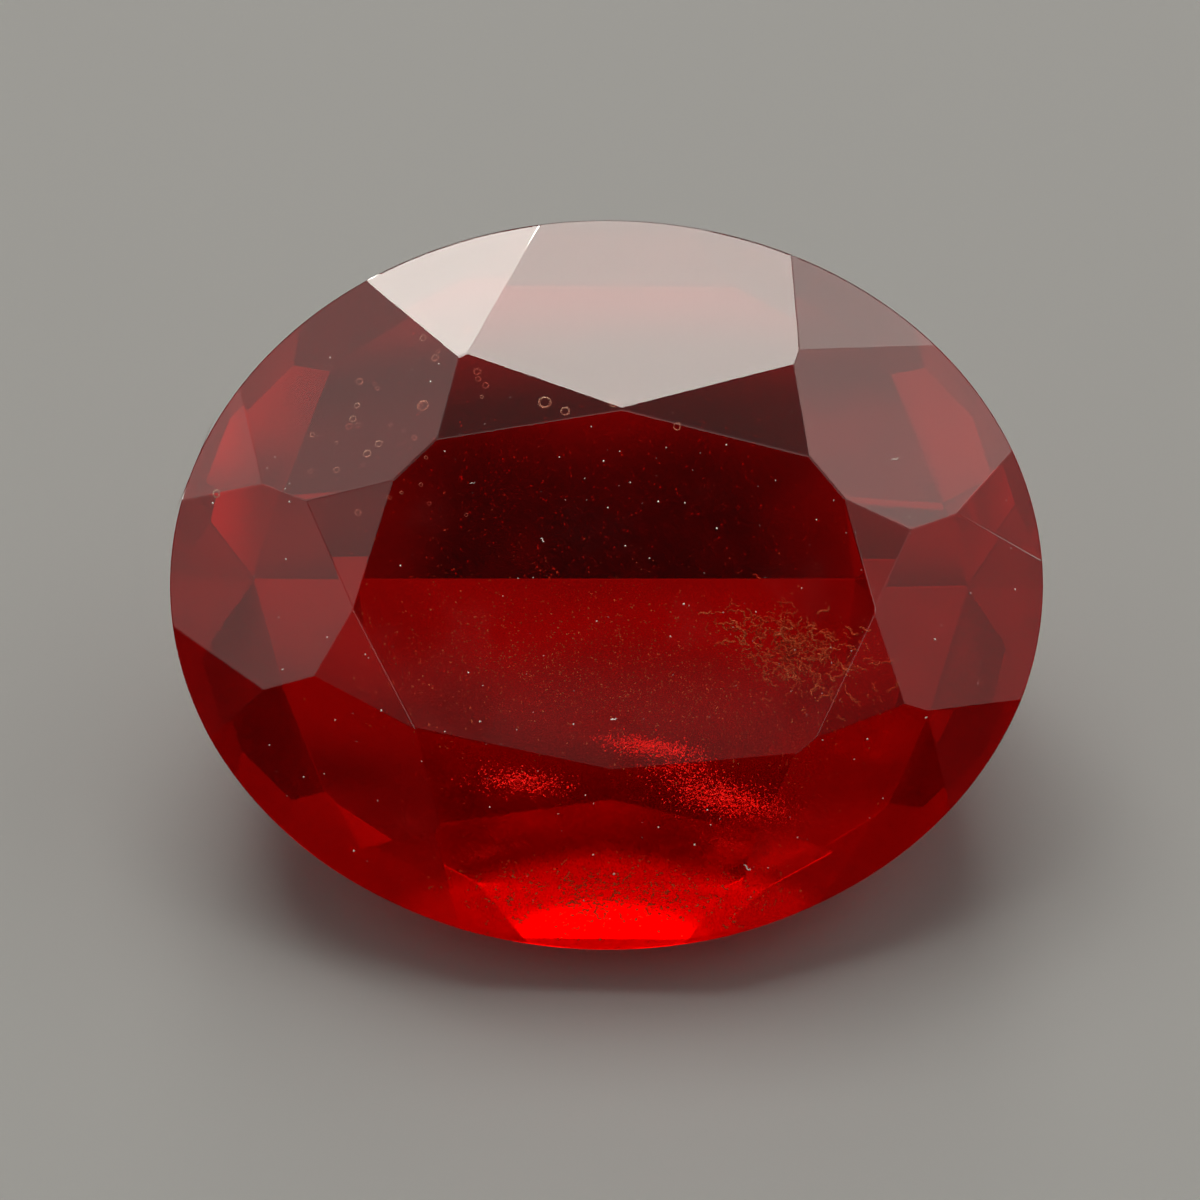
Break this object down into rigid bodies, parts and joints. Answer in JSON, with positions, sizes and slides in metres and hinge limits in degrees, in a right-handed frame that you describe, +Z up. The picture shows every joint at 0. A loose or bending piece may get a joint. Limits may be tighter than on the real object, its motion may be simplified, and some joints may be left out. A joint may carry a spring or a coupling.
{
  "type": "faceted spinel gemstone",
  "caption": "Loose oval mixed-cut red gemstone: a faceted crown with a flat table over a stepped pavilion that ends in a keel, lying on a pavilion facet.",
  "frame": {"origin": "middle of the stone's bounding box, on the surface that the stone lies on", "axes": "+Z up, +X along the stone's length, and -Y towards the viewer whom the leaning table faces"},
  "size_m": [0.009, 0.006, 0.0055],
  "materials": {
    "spinel": "polished, clear deep red, frosted at the girdle"
  },
  "bodies": {
    "root": {"gemstone": "spinel"}
  },
  "joints": []
}
